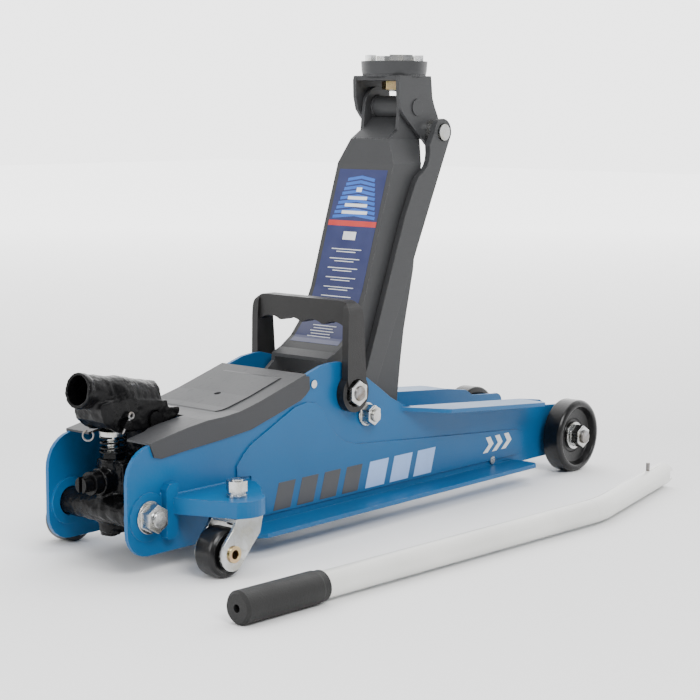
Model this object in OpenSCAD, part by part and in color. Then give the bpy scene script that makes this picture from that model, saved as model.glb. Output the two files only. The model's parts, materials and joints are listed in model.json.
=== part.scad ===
// Two-tonne low-entry trolley jack with a short chassis.
// Millimetres. +X runs to the fixed front wheels, +Y to the left, +Z up.
// Drawn with the lift arm fully raised and the pump handle lying on the floor beside the chassis.

/* [Chassis] */
// thickness of the pressed side plates
plate_thick = 3; // [2.5:0.1:4]
// distance from the middle plane to the outer face of a side plate
plate_out = 38.5; // [36:0.5:42]
// height of the bottom edge of the side plates above the floor
plate_bottom = 13; // [10:0.5:18]
// reach of the top and bottom flanges from the middle plane
flange_out = 62.5; // [55:0.5:66]

/* [Lift] */
// height of the main shaft above the floor
shaft_z = 94; // [80:0.5:105]
// distance from the main shaft to the top pin, forward
arm_dx = 94.5; // [80:0.5:110]
// distance from the main shaft to the top pin, upward
arm_dz = 197.5; // [170:0.5:220]
// outer half width of the lift arm
arm_half = 26.5; // [24:0.5:28]
// radius of the lever that the ram pushes
lever_r = 42; // [38:0.5:46]

/* [Wheels] */
// radius of the cast front wheels
wheel_r = 29; // [25:0.5:35]
// width of a front wheel
wheel_w = 16.7; // [14:0.1:22]
// radius of the rear caster wheels
caster_r = 16; // [14:0.5:20]
// width of a caster wheel
caster_w = 16; // [12:0.5:20]

/* [Handle] */
// outside diameter of the pump handle tube
tube_d = 17; // [16:0.5:19]
// bore of the handle socket
socket_bore = 18; // [17:0.5:20]
// outside diameter of the rubber grip
grip_d = 20.4; // [19:0.2:26]

/* [Hidden] */
$fn = 48;

// the origin is on the floor under the middle of the bounding box
frame_x = 238.445;
frame_y = -45.014;

blue = [0.06, 0.3, 0.58];
dark = [0.24, 0.25, 0.26];
black = [0.07, 0.07, 0.08];
zinc = [0.72, 0.73, 0.74];
steel = [0.6, 0.61, 0.63];
yellow_zinc = [0.72, 0.62, 0.35];

// radius of the M10 and M8 threads, and width of their nuts across the flats
m10 = 5;
m8 = 4;
nut_m10 = 16;
nut_m8 = 13;
// nut of the caster swivel, and the two large glands
nut_swivel = 12;
nut_pump_gland = 14;
nut_ram_gland = 33;
// radial clearance of a pin or shaft that turns or slides in its bore
run = 0.08;
// radial clearance of a bolt in a plate
loose = 0.2;

plate_in = plate_out - plate_thick;
shaft_x = 209.5;
shaft_r = 9;
collar_r = 9.8;
top_x = shaft_x + arm_dx;
top_z = shaft_z + arm_dz;
// the parallel links sit forward of and below the arm by this much at both ends
link_dx = 18.5;
link_dz = -18;
link_low_x = shaft_x + link_dx;
link_low_z = shaft_z + link_dz;
link_top_x = top_x + link_dx;
link_top_z = top_z + link_dz;
link_len = sqrt(arm_dx * arm_dx + arm_dz * arm_dz);
link_tilt = atan2(arm_dx, arm_dz);
lever_angle = -51.4;
lever_x = shaft_x + lever_r * cos(lever_angle);
lever_z = shaft_z + lever_r * sin(lever_angle);
axle_x = 471.3;
wheel_in = 43.6;
sleeve_r = 8;
rear_x = 17;
rear_z = 38;
// cross tube of the pump body, the pressed boss over its ends, and the ring inside the plate round them
tube_r = 9.5;
ring_h = 2;
boss_r = 15.5;
boss_h = 1;
ram_z = 56;
pump_x = 23.5;
valve_seat_x = 9.5;
stem_end_x = -4;
plunger_r = 4;
rod_r = 9;
ram_bore_r = 13;
tank_r = 27;
spring_r = 7.9;
wire_r = 0.9;
spring_z = 75.4;
spring_pitch = 4.05;
socket_x = 47.7;
socket_z = 93;
roller_x = 21.5;
swivel_x = 62.7;
swivel_y = 71.3;
caster_x = 47.7;
grip_r = grip_d / 2;
flange_rivet_x = 380.5;
flange_rivet_z = 20;
flange_rivet_head = 3;
rivet_r = 4;
bail_out = 46;
bail_in = 40.4;
bail_top = 158.5;
bail_round = 10;
wave_pitch = 20;
wave_r = 16.5;
brk_out = 21.8;
brk_in = 18.8;
bracket_top = 314.4;
// saddle: radius of its base and of the pads, the dish between them, and the slots that part them
saddle_r = 20.6;
pad_r = 21.5;
dish_r = 15.2;
pad_slot = 15.5;
pad_turn = 8.5;
saddle_z = 318.4;
saddle_top = 329.4;
saddle_bolt_z = 303.2;
dish_z = 322;
slot_z = 324;
lever_pin_r = 6;
arm_pin_r = 6;
link_pin_r = 6;
lever_roller_r = 8;
roller_gap = 1.2;
split_r = 0.8;
split_y = 15.5;
pin_tilt = 35;
socket_slope = 10.6;

module place() {
  translate([-frame_x, -frame_y, 0]) children();
}
// a left-hand shape, or its mirror image on the right
module side(s) {
  mirror([0, s < 0 ? 1 : 0, 0]) children();
}
module both() {
  children();
  mirror([0, 1, 0]) children();
}
// extrude an outline drawn in X and Z from y0 to y1
module xz(y0, y1) {
  translate([0, y1, 0]) rotate([90, 0, 0]) linear_extrude(y1 - y0) children();
}
module ycyl(x, z, r, y0, y1) {
  translate([x, y1, z]) rotate([90, 0, 0]) cylinder(r = r, h = y1 - y0);
}
function hex_r(flats) = flats / sqrt(3);
// hexagon prism along Y, with corners up and down
module yhex(x, z, flats, y0, y1) {
  translate([x, y1, z]) rotate([90, 0, 0]) rotate([0, 0, 30])
    cylinder(r = hex_r(flats), h = y1 - y0, $fn = 6);
}
module xcyl(x0, x1, z, r) {
  translate([x0, 0, z]) rotate([0, 90, 0]) cylinder(r = r, h = x1 - x0);
}
function arc(cx, cz, r, a0, a1, n) =
  [for (i = [0 : n]) [cx + r * cos(a0 + (a1 - a0) * i / n), cz + r * sin(a0 + (a1 - a0) * i / n)]];

// top line of the folded cover, rear to front
cover_line = [[19, 84.5], [49, 90], [69, 92.5], [84, 93], [99, 94.5], [120, 99.5], [163, 112]];
cover_thick = 1.5;

module plate_outline() {
  polygon(concat(
    arc(17, 30, 17, 270, 180, 6),
    arc(22, 61, 22, 180, 98, 7),
    [for (p = cover_line) [p[0], p[1] - cover_thick]],
    [[171, 113], [180, 115.5], [190, 116.5], [199, 116.5], [209, 114], [218, 109.5], [230, 101.5],
    [244, 92.5], [256, 84.5], [268, 78.5], [279, 75], [422, 63]],
    [[446, 59.5], [455, 54], [486, 51.5]],
    arc(489, 43.5, 8, 80, 0, 3),
    [[497, 30]],
    arc(484, 26, 13, 0, -90, 4)));
}
module plate_relief() {
  polygon([[112, 21], [109, 50], [96, 51], [95.5, 58], [102, 65.5], [109, 71], [152, 90.5], [164, 92.5],
    [173, 91], [181, 85.5], [187, 74], [196, 65], [205, 59.5], [217, 56], [308, 48.5],
    [413, 40], [420, 37], [422, 30], [419, 22], [413, 20]]);
}
module side_plate(s) {
  color(blue) place() side(s) difference() {
    union() {
      xz(plate_in, plate_out) plate_outline();
      xz(plate_out, plate_out + 1.2) plate_relief();
      ycyl(rear_x, rear_z, boss_r, plate_out, plate_out + boss_h);
      ycyl(rear_x, rear_z, boss_r, plate_in - ring_h, plate_in);
      // top flange
      intersection() {
        xz(plate_out, flange_out) polygon([[266, 73], [266, 76], [279, 75], [422, 63], [422, 60]]);
        translate([0, 0, 50]) linear_extrude(40)
          polygon([[266, plate_out], [268, plate_out], [292, flange_out - 3], [297, flange_out],
            [418, flange_out], [422, flange_out - 4], [422, plate_out]]);
      }
      // bottom flange
      translate([0, 0, plate_bottom]) linear_extrude(plate_thick)
        polygon([[96, plate_out], [96, flange_out - 5], [101, flange_out], [407, flange_out],
          [411, flange_out - 4], [411, plate_out]]);
    }
    ycyl(rear_x, rear_z, tube_r, plate_in - ring_h - 1, plate_in + 1);
    ycyl(rear_x, rear_z, m10 + loose, plate_in - 1, plate_out + 3);
    ycyl(shaft_x, shaft_z, m10 + loose, plate_in - 1, plate_out + 1);
    ycyl(link_low_x, link_low_z, m8 + loose, plate_in - 1, plate_out + 1);
    ycyl(axle_x, wheel_r, m10 + loose, plate_in - 1, plate_out + 1);
    ycyl(171.5, 104, 1.8, plate_in - 1, plate_out + 1);
    ycyl(flange_rivet_x, flange_rivet_z, 1.6, plate_in - 1, plate_out + 1);
    // spot face for the rivet's head, which stands on the plate at the edge of the raised panel
    ycyl(flange_rivet_x, flange_rivet_z, flange_rivet_head, plate_out, plate_out + 2);
  }
}
module side_plate_right() { side_plate(-1); }
module side_plate_left() { side_plate(1); }

module cover_plate() {
  top = cover_line;
  color(dark) place() difference() {
    union() {
      xz(-plate_out - 1.4, plate_out + 1.4) polygon(concat(top,
        [for (i = [len(top) - 1 : -1 : 0]) [top[i][0], top[i][1] - cover_thick]]));
      both() xz(plate_out, plate_out + 1.4) polygon(concat(
        [for (p = top) [p[0], p[1] - cover_thick]],
        [[166.5, 110], [167, 101], [163, 97.5], [158, 94.5], [131, 87], [109, 81], [80, 78], [54, 76],
        [28, 73.5], [22, 75]]));
      // raised panel, rounded at its corners
      intersection() {
        xz(-27, 27) polygon([[88, 92.5], [91, 94.2], [99, 95.5], [120, 100.4], [150, 109.2], [154, 109.2],
          [120, 99], [99, 94]]);
        translate([0, 0, 85]) linear_extrude(40) polygon(concat(
          arc(96, 19, 8, 90, 180, 5), arc(96, -19, 8, 180, 270, 5), [[154, -27], [154, 27]]));
      }
    }
    // opening for the handle socket
    translate([0, 0, 70]) linear_extrude(40) polygon([[0, -19], [34, -17.5], [40, -15],
      [72, -15], [72, 15], [40, 15], [34, 17.5], [0, 19]]);
    translate([118, 0, 80]) cylinder(r = 2.4, h = 30);
  }
}
module plate_rivets() {
  color(zinc) place() both() {
    ycyl(171.5, 104, 1.8, plate_in - 2, plate_out);
    ycyl(171.5, 104, 2.8, plate_out, plate_out + 1.3);
    ycyl(flange_rivet_x, flange_rivet_z, 1.6, plate_in, plate_out);
    ycyl(flange_rivet_x, flange_rivet_z, flange_rivet_head, plate_out, plate_out + 1.6);
  }
}
// floor brace with the saddle that carries the reservoir
module cross_tie() {
  color(blue) place() difference() {
    union() {
      translate([96, -plate_in, plate_bottom]) cube([36, plate_in * 2, 3]);
      translate([104, -24, plate_bottom + 3]) cube([20, 48, 22]);
    }
    xcyl(90, 140, ram_z, tank_r);
  }
}
module rear_studs() {
  color(zinc) place() both() ycyl(rear_x, rear_z, m10, 20, plate_out + 12);
}
module rear_nuts() {
  color(zinc) place() both() difference() {
    union() {
      yhex(rear_x, rear_z, nut_m10, plate_out + 2.4, plate_out + 10);
      ycyl(rear_x, rear_z, 10.5, plate_out + 1, plate_out + 2.6);
    }
    ycyl(rear_x, rear_z, m10, plate_out, plate_out + 11);
  }
}
module pump_body() {
  color(black) place() difference() {
    union() {
      ycyl(rear_x, rear_z, tube_r, -plate_in - 1, plate_in + 1);
      translate([pump_x, 0, 22]) cylinder(r = 10, h = 48);
      translate([rear_x + 3, -13, 27]) cube([44, 26, 41]);
      translate([26, 6, 18]) cylinder(r = 7, h = 10);
      xcyl(56, 76, ram_z, 20);
      xcyl(valve_seat_x, 20, ram_z, 9);
      // lug that carries the handle socket
      xz(-9, 9) polygon(concat([[54.5, 66]], arc(socket_x, socket_z, 8, 0, 180, 12), [[41, 66]]));
    }
    both() ycyl(rear_x, rear_z, m10, 20, plate_in + 2);
    translate([pump_x, 0, 30]) cylinder(r = plunger_r + 0.4, h = 45);
    xcyl(0, 16, ram_z, 4);
    // flat seat for the release valve
    xcyl(-1, valve_seat_x, ram_z, 8);
    ycyl(socket_x, socket_z, m10, -10, 10);
    xcyl(66, 80, ram_z, ram_bore_r);
    // oil gallery from the pump to the ram
    xcyl(pump_x, 67, 47, 1.5);
  }
}
module pump_gland() {
  color(black) place() difference() {
    union() {
      translate([pump_x, 0, 70]) cylinder(r = hex_r(nut_pump_gland), h = 4, $fn = 6);
      translate([pump_x, 0, 73.5]) cylinder(r = 9.2, h = 1);
    }
    translate([pump_x, 0, 69]) cylinder(r = plunger_r + run, h = 7);
  }
}
module ram_cylinder() {
  color(steel) place() difference() {
    xcyl(76, 142, ram_z, 17);
    xcyl(75, 143, ram_z, ram_bore_r);
  }
}
module reservoir_tank() {
  color(black) place() difference() {
    union() {
      xcyl(76, 142, ram_z, tank_r);
      translate([118, 0, ram_z + 20]) cylinder(r = 7, h = 9.5);
    }
    xcyl(78.5, 139.5, ram_z, 24.6);
    xcyl(70, 150, ram_z, 17);
    translate([118, 0, ram_z + 15]) cylinder(r = 4, h = 30);
  }
}
module ram_gland() {
  color(steel) place() difference() {
    union() {
      xcyl(142, 150, ram_z, 24);
      translate([150, 0, ram_z]) rotate([0, 90, 0]) cylinder(r = hex_r(nut_ram_gland), h = 7, $fn = 6);
      xcyl(134, 142, ram_z, ram_bore_r);
    }
    xcyl(130, 160, ram_z, rod_r + run);
  }
}
module filler_plug() {
  color(black) place() {
    translate([118, 0, ram_z + 22]) cylinder(r = 4, h = 7.5);
    translate([118, 0, ram_z + 29.5]) cylinder(r = 6, h = 2);
  }
}
module release_body() {
  color(black) place() difference() {
    union() {
      xcyl(9, 16, ram_z, 4);
      xcyl(3, valve_seat_x, ram_z, 7.5);
    }
    xcyl(0, 20, ram_z, 2.5 + run);
  }
}
// turning stem of the release valve with its slotted end
module release_knuckle() {
  color(black) place() difference() {
    union() {
      xcyl(2.6, 15, ram_z, 2.5);
      xcyl(stem_end_x, 2.6, ram_z, 5.2);
    }
    translate([stem_end_x - 1, -1.6, ram_z - 10]) cube([5, 3.2, 20]);
  }
}
module plunger() {
  color(zinc) place() translate([pump_x, 0, 0]) {
    translate([0, 0, 46]) cylinder(r = plunger_r, h = 39);
    translate([0, 0, 84.4]) cylinder(r = 9, h = 3);
  }
}
// round-wire compression spring drawn as stacked closed rings joined by a spine
module plunger_spring() {
  color(black) place() translate([pump_x, 0, 0]) {
    for (i = [0 : 2]) translate([0, 0, spring_z + i * spring_pitch])
      rotate_extrude() translate([spring_r, 0]) circle(r = wire_r);
    translate([spring_r, 0, spring_z]) cylinder(r = 0.6, h = 2 * spring_pitch);
  }
}
head_front = lever_x - lever_roller_r - roller_gap;
module ram_rod() {
  color(steel) place() xcyl(133, head_front - 6, ram_z, rod_r);
}
module ram_piston() {
  color(black) place() xcyl(121, 133, ram_z, ram_bore_r - run);
}
module ram_head() {
  color(dark) place() difference() {
    translate([head_front - 14, -12, ram_z - 11]) cube([14, 24, 24]);
    xcyl(head_front - 15, head_front - 6, ram_z, rod_r);
  }
}

module socket_frame() {
  translate([-6, 0, 116.5]) rotate([0, socket_slope, 0]) children();
}
module handle_socket() {
  color(black) place() difference() {
    union() {
      socket_frame() rotate([0, 90, 0]) cylinder(r = 11.2, h = 63);
      socket_frame() rotate([0, 90, 0]) cylinder(r = 11.8, h = 4);
      // fuller body behind the mouth
      socket_frame() translate([16, 0, -1]) rotate([0, 90, 0]) cylinder(r1 = 11.2, r2 = 13.2, h = 14);
      socket_frame() translate([30, 0, -1]) rotate([0, 90, 0]) cylinder(r1 = 13.2, r2 = 11.4, h = 33);
      xz(-13.5, 13.5) polygon(concat(
        [[3, 108], [2, 104], [4, 96], [10, 91], [17, 87.5], [28, 87], [38, 86.5]],
        arc(socket_x, socket_z, 9, 225, 315, 6),
        [[60, 90], [66, 91.5], [70, 94], [70, 98.5], [60.5, 99.5], [59, 104], [44, 106], [20, 110]]));
      xz(-3, 3) polygon([[52, 103], [54, 115.5], [58.5, 116], [61, 110], [62, 98]]);
    }
    // bore for the handle
    socket_frame() rotate([0, 90, 0]) translate([0, 0, -1]) cylinder(r = socket_bore / 2, h = 47);
    // slot for the lug and the pump plunger
    xz(-9.6, 9.6) polygon([[11, 80], [60, 80], [60, 98], [56, 102.5], [48, 102.5], [43, 101.5],
      [40, 98.5], [36, 97.5], [30, 99.5], [14, 100], [11, 98]]);
    // hole on top for the handle's spring pin
    socket_frame() translate([9, 0, 5]) cylinder(r = 2.2, h = 12);
    ycyl(socket_x, socket_z, m10 + run, -20, 20);
    ycyl(roller_x, socket_z, 3, -20, 20);
  }
}
module socket_pin() {
  color(black) place() ycyl(socket_x, socket_z, m10, -14.7, 14.7);
}
module socket_roller() {
  color(black) place() difference() {
    union() {
      ycyl(roller_x, socket_z, 3, -17.4, 17.4);
      ycyl(roller_x, socket_z, 5, -9, 9);
    }
    both() translate([roller_x, split_y, socket_z]) rotate([0, pin_tilt, 0])
      cylinder(r = split_r, h = 10, center = true);
  }
}
module split_pins() {
  color(steel) place() both() translate([roller_x, split_y, socket_z]) rotate([0, pin_tilt, 0]) {
    translate([0, 0, -6.5]) cylinder(r = split_r, h = 11.5);
    translate([0, 0, 6.4]) rotate([90, 0, 0]) rotate_extrude() translate([1.9, 0]) circle(r = split_r);
  }
}

module main_shaft() {
  color(steel) place() {
    ycyl(shaft_x, shaft_z, shaft_r, -plate_in, plate_in);
    both() ycyl(shaft_x, shaft_z, m10, plate_in, plate_out + 11);
  }
}
module shaft_spacers() {
  color(dark) place() both() difference() {
    ycyl(shaft_x, shaft_z, 11, arm_half + 0.5, plate_in);
    ycyl(shaft_x, shaft_z, shaft_r, arm_half, plate_in + 1);
  }
}
module main_nuts() {
  color(zinc) place() both() difference() {
    union() {
      ycyl(shaft_x, shaft_z, collar_r, plate_out, plate_out + 3.2);
      yhex(shaft_x, shaft_z, nut_m10, plate_out + 3, plate_out + 10);
    }
    ycyl(shaft_x, shaft_z, m10, plate_out - 1, plate_out + 12);
  }
}
// wider play at the links' upper eyes
link_play = 0.3;
link_in = arm_half + 0.6;
link_out = link_in + 5;
module link_bolts() {
  color(zinc) place() both() {
    ycyl(link_low_x, link_low_z, 8.5, link_in + 0.2, link_in + 2.2);
    ycyl(link_low_x, link_low_z, link_pin_r, link_in + 2.2, link_out + 0.4);
    ycyl(link_low_x, link_low_z, 9, link_out + 0.4, plate_in);
    ycyl(link_low_x, link_low_z, m8, plate_in, plate_out + 10.5);
  }
}
module link_nuts() {
  color(zinc) place() both() difference() {
    union() {
      ycyl(link_low_x, link_low_z, 8.6, plate_out, plate_out + 1.6);
      yhex(link_low_x, link_low_z, nut_m8, plate_out + 1.4, plate_out + 8.6);
    }
    ycyl(link_low_x, link_low_z, m8, plate_out - 1, plate_out + 12);
  }
}
module front_axle() {
  color(steel) place() {
    ycyl(axle_x, wheel_r, sleeve_r, -plate_in, plate_in);
    both() ycyl(axle_x, wheel_r, m10, plate_in, 66.5);
  }
}
// shouldered sleeve that each front wheel turns on
module axle_spacers() {
  color(steel) place() both() difference() {
    union() {
      ycyl(axle_x, wheel_r, 11, plate_out, wheel_in - 0.4);
      ycyl(axle_x, wheel_r, sleeve_r, wheel_in - 0.4, 54);
    }
    ycyl(axle_x, wheel_r, m10, plate_out - 1, 55);
  }
}
module axle_washers() {
  color(zinc) place() both() difference() {
    ycyl(axle_x, wheel_r, 11, 54, 56);
    ycyl(axle_x, wheel_r, m10, 53, 57);
  }
}
module axle_nuts() {
  color(zinc) place() both() difference() {
    yhex(axle_x, wheel_r, nut_m10, 56, 64.4);
    ycyl(axle_x, wheel_r, m10, 55, 66);
  }
}

// rear face of the arm, top to bottom
web_line = [[276, 268.5], [271.5, 251], [256.5, 206], [242, 161.5], [231.5, 140], [220, 127.5],
  [209, 120.5], [200, 117]];
module arm_outline() {
  polygon(concat(
    web_line,
    [[199.5, 111.5], [192, 106], [189, 95], [193, 80], [208, 63], [228, 49.5], [246, 46.5],
    [264, 52], [275, 64], [278, 79.5], [281.5, 108], [285, 130], [295.5, 173.5], [300, 212],
    [303, 245.5], [304, 252],
    [313, 270], [318.5, 283]],
    arc(top_x, top_z, 15.3, 0, 180, 14),
    [[287, 275]]));
}
module arm_front(w1, w2, drop) {
  translate([150, 0, 0]) rotate([90, 0, 90]) linear_extrude(220)
    polygon([[-w1, 30], [w1, 30], [w1, 251 - drop], [w2, 268.5 - drop], [w2, 320], [-w2, 320],
      [-w2, 268.5 - drop], [-w1, 251 - drop]]);
}
module lift_arm() {
  color(dark) place() difference() {
    union() {
      arm_channel();
      // plate that closes the channel below the top pin
      xz(-15.5, 15.5) polygon([[277.5, 269], [279, 266], [298, 279], [300.5, 284.5], [297, 284]]);
    }
    ycyl(shaft_x, shaft_z, shaft_r + run, -30, 30);
    ycyl(top_x, top_z, arm_pin_r + run, -30, 30);
    ycyl(top_x, top_z, 9, -14.9, 14.9);
    ycyl(lever_x, lever_z, lever_pin_r, -30, 30);
  }
}
module arm_channel() {
  difference() {
    intersection() {
      xz(-arm_half, arm_half) arm_outline();
      arm_front(arm_half, 18, 0);
    }
    intersection() {
      xz(-arm_half, arm_half) polygon(concat(
        [[240, 340], [240, 268.6], [279.3, 268.6]],
        [for (p = web_line) [p[0] + 2.6, p[1] - 2.4]],
        [[150, 114.6], [150, 20], [340, 20], [340, 340]]));
      arm_front(arm_half - 3, 15, 1.5);
    }
  }
}
module lever_pin() {
  color(steel) place() ycyl(lever_x, lever_z, lever_pin_r, -arm_half, arm_half);
}
module lever_roller() {
  color(steel) place() difference() {
    ycyl(lever_x, lever_z, lever_roller_r, -14, 14);
    ycyl(lever_x, lever_z, lever_pin_r, -15, 15);
  }
}
// link outline along its own length, from the lower pivot at the origin
module link_outline() {
  polygon(concat(
    arc(0, 0, 10, 270, 90, 12),
    [[7, 8], [20, 5.5], [31, 5], [145, 13.5], [172, 13], [178, 12], [184, 8], [189, 6], [194, 6],
    [199, 7.5], [204, 10.5]],
    arc(link_len, 0, 10, 115, -75, 12),
    [[206, -9.5]]));
}
module link_bar(s) {
  color(dark) place() side(s) difference() {
    translate([link_low_x, link_out, link_low_z]) rotate([0, link_tilt - 90, 0]) rotate([90, 0, 0])
      linear_extrude(link_out - link_in) link_outline();
    ycyl(link_low_x, link_low_z, link_pin_r + run, link_in - 1, link_out + 1);
    ycyl(link_low_x, link_low_z, 8.9, link_in - 1, link_in + 2.5);
    ycyl(link_top_x, link_top_z, link_pin_r + link_play, link_in - 1, link_out + 1);
  }
}
module link_bar_right() { link_bar(-1); }
module link_bar_left() { link_bar(1); }

module saddle_bracket() {
  color(dark) place() difference() {
    union() {
      both() xz(brk_in, brk_out) polygon(concat(
        [[283.5, bracket_top], [282.5, 311], [283, 299], [285.5, 290], [290.5, 284.5], [309, 269.5]],
        arc(link_top_x, link_top_z, 11, 215, 355, 8),
        [[329, 285.5], [325.5, 291.5], [322.5, 298.5], [321, 311], [320.5, bracket_top]]));
      translate([283.5, -brk_in, 311]) cube([37, brk_in * 2, bracket_top - 311]);
    }
    both() ycyl(top_x, top_z, arm_pin_r, brk_in - 1, brk_out + 1);
    both() ycyl(link_top_x, link_top_z, link_pin_r, brk_in - 1, brk_out + 1);
    translate([top_x, 0, 305]) cylinder(r = m10 + run, h = 12);
  }
}
module saddle_cup() {
  color(dark) place() translate([top_x, 0, 0]) rotate_extrude()
    polygon([[m10 + run, bracket_top], [21, bracket_top], [23.5, 315.5], [24, 318], [24.5, 325],
      [23, 325], [22.5, 319], [21, 318], [m10 + run, 318]]);
}
module arm_pin() {
  color(dark) place() {
    ycyl(top_x, top_z, arm_pin_r, -brk_out - 0.9, brk_out + 0.9);
    difference() {
      ycyl(top_x, top_z, 8.6, -14.6, 14.6);
      ycyl(top_x, top_z, arm_pin_r, -15, 15);
    }
  }
}
module link_pins() {
  color(zinc) place() both() {
    ycyl(link_top_x, link_top_z, link_pin_r, brk_in, link_out + 1.6);
    difference() {
      ycyl(link_top_x, link_top_z, 9, brk_out, link_in - 0.4);
      ycyl(link_top_x, link_top_z, link_pin_r, brk_out - 1, link_in);
    }
  }
}
module saddle() {
  color(zinc) place() translate([top_x, 0, 0]) {
    translate([0, 0, saddle_bolt_z]) cylinder(r = m10, h = saddle_z - saddle_bolt_z);
    difference() {
      union() {
        translate([0, 0, saddle_z]) cylinder(r = saddle_r, h = 3);
        translate([0, 0, saddle_z + 3]) cylinder(r = pad_r, h = saddle_top - saddle_z - 3);
      }
      translate([0, 0, dish_z]) cylinder(r = dish_r, h = 12);
      // cross slots between the four pads
      for (a = [0, 90]) rotate([0, 0, a + pad_turn]) translate([-30, -pad_slot / 2, slot_z])
        cube([60, pad_slot, 12]);
    }
  }
}
module saddle_nut() {
  color(yellow_zinc) place() difference() {
    translate([top_x, 0, 304.4]) cylinder(r = hex_r(nut_m10), h = 6.2, $fn = 6);
    translate([top_x, 0, 300]) cylinder(r = m10, h = 20);
  }
}

// seen from behind: round outer corners over both legs
module bail_outline() {
  polygon(concat([[bail_out, 60]],
    arc(bail_out - bail_round, bail_top - bail_round, bail_round, 0, 90, 8),
    arc(bail_round - bail_out, bail_top - bail_round, bail_round, 90, 180, 8), [[-bail_out, 60]]));
}
module carry_handle() {
  color(black) place() intersection() {
    union() {
      both() difference() {
        union() {
          ycyl(shaft_x, shaft_z, 13.7, plate_out + 0.4, bail_out - 1);
          xz(bail_in, bail_out) polygon([[202, 92], [199.5, 104], [200, 142], [201, 154], [204, bail_top],
            [213, bail_top], [215.5, 152], [216.5, 142], [219.5, 104], [217, 92]]);
        }
        ycyl(shaft_x, shaft_z, collar_r + run, plate_out, bail_out + 1);
      }
      // grip bar with finger waves underneath, and rounded inner corners
      difference() {
        translate([202.5, -bail_in, 132]) cube([11, bail_in * 2, bail_top - 132]);
        translate([190, -bail_in + 6, 131]) cube([40, (bail_in - 6) * 2, 10]);
        for (i = [-1.5 : 1 : 1.5]) translate([190, i * wave_pitch, 127])
          rotate([0, 90, 0]) cylinder(r = wave_r, h = 40);
        both() translate([190, bail_in - 6, 132]) rotate([0, 90, 0]) cylinder(r = 6, h = 40);
      }
    }
    translate([180, 0, 0]) rotate([90, 0, 90]) linear_extrude(60) bail_outline();
  }
}

module front_wheel(s) {
  color(black) place() translate([axle_x, 0, wheel_r]) side(s) rotate([-90, 0, 0]) rotate_extrude()
    polygon([[sleeve_r + run, wheel_in], [25, wheel_in], [wheel_r - 0.6, wheel_in + 0.4],
      [wheel_r, wheel_in + 1.4],
      [wheel_r, wheel_in + wheel_w - 2.4], [wheel_r - 1.6, wheel_in + wheel_w - 0.6],
      [wheel_r - 4, wheel_in + wheel_w], [23.6, wheel_in + wheel_w - 0.4], [21.6, wheel_in + wheel_w - 6],
      [14, wheel_in + wheel_w - 7.2], [13, 53.7], [sleeve_r + run, 53.7]]);
}
module front_wheel_right() { front_wheel(-1); }
module front_wheel_left() { front_wheel(1); }

module caster_bracket(s) {
  color(blue) place() side(s) difference() {
    union() {
      // hollow cast lobe
      difference() {
        translate([0, 0, 38]) linear_extrude(10.5)
          polygon(concat([[31, plate_out], [34, 44]], arc(swivel_x, swivel_y, 18, 135, 20, 12),
            [[96, 60], [104, 48], [106, plate_out]]));
        translate([0, 0, 37]) linear_extrude(5.5)
          polygon(concat([[41, plate_out + 3], [41, 44.5]], arc(swivel_x, swivel_y, 14.8, 135, 20, 10),
            [[92, 58], [100, 47], [101, plate_out + 3]]));
      }
      translate([swivel_x, swivel_y, 37.9]) cylinder(r = 10, h = 6);
      // upright weld pad at the rear
      xz(plate_out, plate_out + 5.5) polygon([[28, 24], [28, 54], [31, 57.5], [38, 57.5], [38, 24],
        [35, 22], [30, 22]]);
    }
    translate([swivel_x, swivel_y, 30]) cylinder(r = m8, h = 30);
    // room for the pressed boss of the side plate
    ycyl(rear_x, rear_z, boss_r, plate_out - 1, plate_out + boss_h);
  }
}
module caster_bracket_right() { caster_bracket(-1); }
module caster_bracket_left() { caster_bracket(1); }
module swivel_bolts() {
  color(zinc) place() both() translate([swivel_x, swivel_y, 0]) {
    translate([0, 0, 31.4]) cylinder(r = 6.5, h = 2.9);
    translate([0, 0, 34.2]) cylinder(r = m8, h = 25.7);
  }
}
module swivel_nuts() {
  color(zinc) place() both() translate([swivel_x, swivel_y, 0]) difference() {
    union() {
      translate([0, 0, 48.5]) cylinder(r = 6.6, h = 1.7);
      translate([0, 0, 50.1]) cylinder(r = 5.9, h = 2.1);
      translate([0, 0, 52.1]) cylinder(r = hex_r(nut_swivel), h = 6.8, $fn = 6);
    }
    translate([0, 0, 40]) cylinder(r = m8, h = 30);
  }
}
fork_half = 12;
module caster_fork(s) {
  color(zinc) place() side(s) translate([0, swivel_y, 0]) difference() {
    union() {
      translate([50, -fork_half, 34.6]) cube([24, fork_half * 2, 2.9]);
      for (m = [0, 1]) mirror([0, m, 0]) xz(fork_half - 2.4, fork_half)
        polygon(concat([[74, 36], [73, 37.5], [51, 37.5], [50, 36], [47, 31], [42, 26]],
          arc(caster_x, caster_r, 11, 145, 300, 9), [[64, 18], [71.5, 26]]));
    }
    translate([swivel_x, 0, 30]) cylinder(r = m8 + run, h = 12);
    ycyl(caster_x, caster_r, rivet_r, -20, 20);
  }
}
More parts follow.
